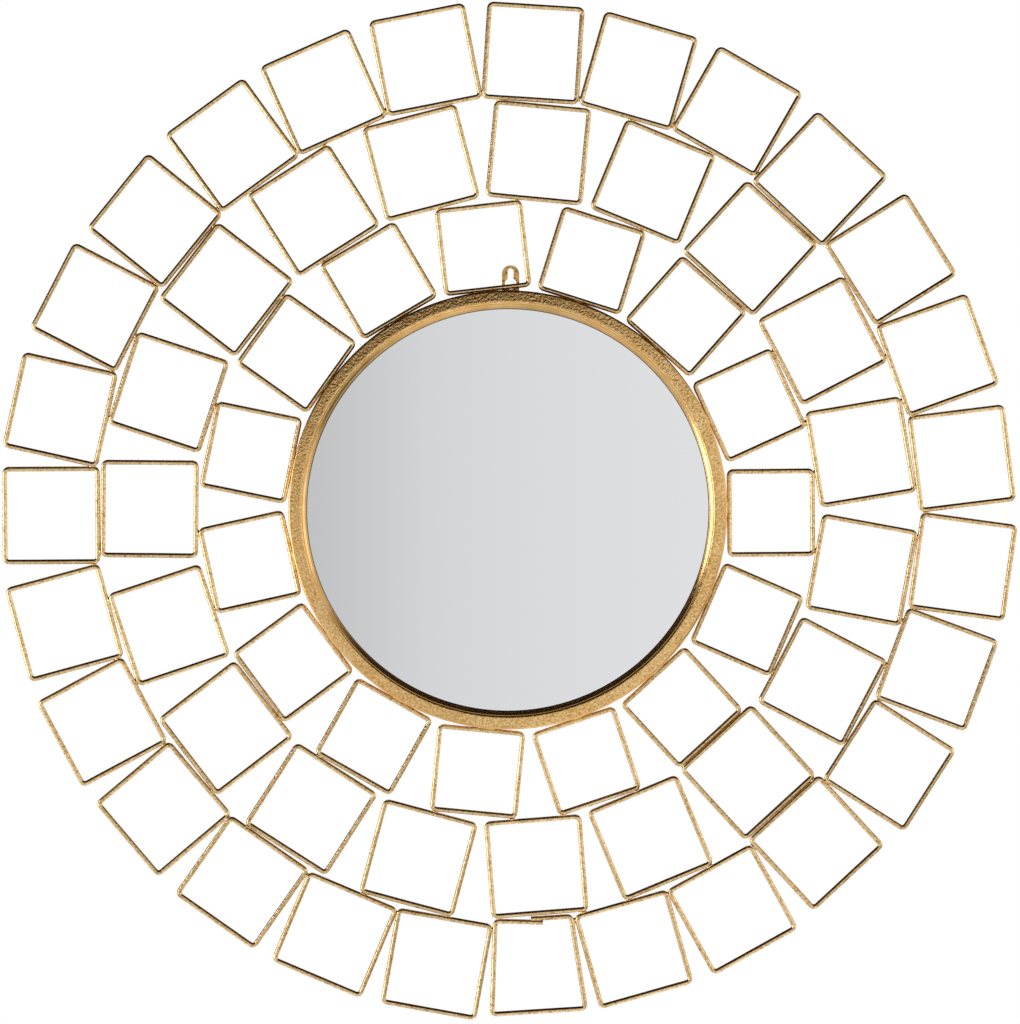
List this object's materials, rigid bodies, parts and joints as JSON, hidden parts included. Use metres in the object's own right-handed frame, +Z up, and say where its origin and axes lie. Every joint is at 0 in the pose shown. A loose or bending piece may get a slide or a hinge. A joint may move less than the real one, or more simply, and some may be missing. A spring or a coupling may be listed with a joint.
{
  "type": "wall mirror",
  "caption": "Round wall mirror in a gilded iron frame, ringed by rows of open squares bent from wire, hung by a keyhole plate.",
  "frame": {"origin": "on the back face of the keyhole plate, on the metal just above the end of its slot, where the wall screw bears", "axes": "+Z up, +X to the right seen from the front, +Y into the wall; the glass faces -Y and the wall is the plane Y = 0"},
  "size_m": [0.8116, 0.0168, 0.8144],
  "materials": {
    "gilded_iron": "antique gilt leaf, fine grain, brown in the hollows",
    "mirror_glass": "silvered float glass, polished",
    "hardboard": "raw pressed fibreboard"
  },
  "bodies": {
    "root": {"mirror_frame": "gilded_iron", "hanger_plate": "gilded_iron", "inner_square_01": "gilded_iron", "inner_square_02": "gilded_iron", "inner_square_03": "gilded_iron", "inner_square_04": "gilded_iron", "inner_square_05": "gilded_iron", "inner_square_06": "gilded_iron", "inner_square_07": "gilded_iron", "inner_square_08": "gilded_iron", "inner_square_09": "gilded_iron", "inner_square_10": "gilded_iron", "inner_square_11": "gilded_iron", "inner_square_12": "gilded_iron", "inner_square_13": "gilded_iron", "inner_square_14": "gilded_iron", "inner_square_15": "gilded_iron", "middle_square_01": "gilded_iron", "middle_square_02": "gilded_iron", "middle_square_03": "gilded_iron", "middle_square_04": "gilded_iron", "middle_square_05": "gilded_iron", "middle_square_06": "gilded_iron", "middle_square_07": "gilded_iron", "middle_square_08": "gilded_iron", "middle_square_09": "gilded_iron", "middle_square_10": "gilded_iron", "middle_square_11": "gilded_iron", "middle_square_12": "gilded_iron", "middle_square_13": "gilded_iron", "middle_square_14": "gilded_iron", "middle_square_15": "gilded_iron", "middle_square_16": "gilded_iron", "middle_square_17": "gilded_iron", "middle_square_18": "gilded_iron", "middle_square_19": "gilded_iron", "outer_pair_01": "gilded_iron", "outer_pair_02": "gilded_iron", "outer_pair_03": "gilded_iron", "outer_pair_04": "gilded_iron", "outer_pair_05": "gilded_iron", "outer_pair_06": "gilded_iron", "outer_pair_07": "gilded_iron", "outer_pair_08": "gilded_iron", "outer_pair_09": "gilded_iron", "outer_pair_10": "gilded_iron", "outer_pair_11": "gilded_iron", "outer_pair_12": "gilded_iron", "outer_pair_13": "gilded_iron", "outer_closing_square": "gilded_iron", "mirror_glass": "mirror_glass", "backing_board": "hardboard"}
  },
  "joints": []
}
